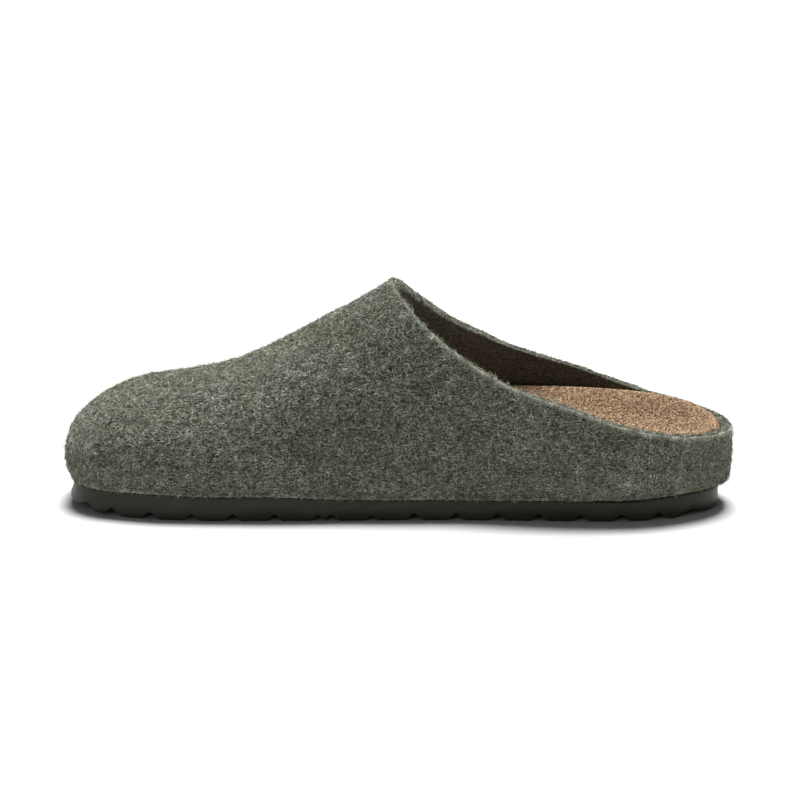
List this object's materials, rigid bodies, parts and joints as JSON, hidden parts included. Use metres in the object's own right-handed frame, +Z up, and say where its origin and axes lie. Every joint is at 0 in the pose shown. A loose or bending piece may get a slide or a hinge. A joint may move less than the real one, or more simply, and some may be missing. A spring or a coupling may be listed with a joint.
{
  "type": "clog slipper",
  "caption": "Backless felt clog slipper with a closed rounded toe, a low collar that falls to the heel, a cupped footbed and a thin grooved sole.",
  "frame": {"origin": "on the floor under the centre of the shoe's bounding box", "axes": "+X towards the heel, +Y towards the outer side of the foot, +Z up"},
  "size_m": [0.2686, 0.0998, 0.0912],
  "materials": {
    "felt": "moss green wool felt, mottled, matt",
    "suede": "tan suede, matt",
    "foam": "dark green-black moulded foam, satin"
  },
  "bodies": {
    "root": {"upper": "felt", "footbed": "suede", "outsole": "foam"}
  },
  "joints": []
}
